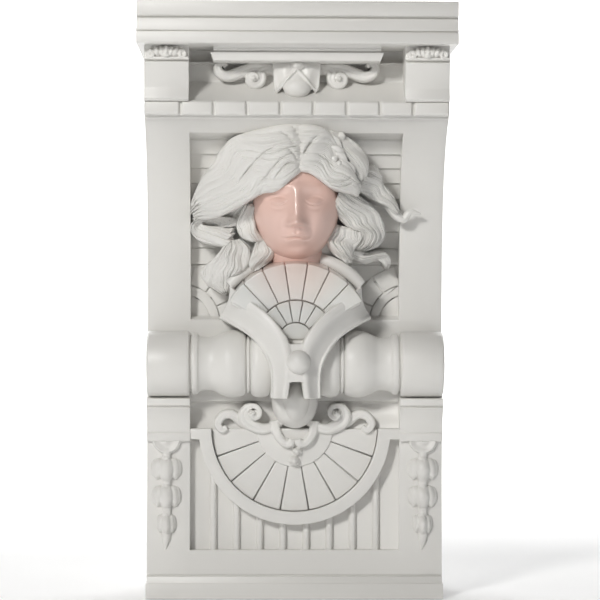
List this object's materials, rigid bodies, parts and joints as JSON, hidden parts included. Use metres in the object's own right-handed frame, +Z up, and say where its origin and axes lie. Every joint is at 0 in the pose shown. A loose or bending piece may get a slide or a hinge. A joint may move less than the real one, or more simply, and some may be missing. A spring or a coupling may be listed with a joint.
{
  "type": "wall corbel",
  "caption": "Cast wall corbel with a moulded crown, a coved panel with a long-haired bust, turned balusters, scrolls and a fan over a reeded panel.",
  "frame": {"origin": "centre of the flat back face that meets the wall", "axes": "+Z up along the corbel's height, +Y into the wall, so the carved front faces -Y; X across, centred"},
  "size_m": [0.317, 0.215, 0.6],
  "materials": {
    "white_glaze": "satin"
  },
  "bodies": {
    "root": {"corbel": "white_glaze"}
  },
  "joints": []
}
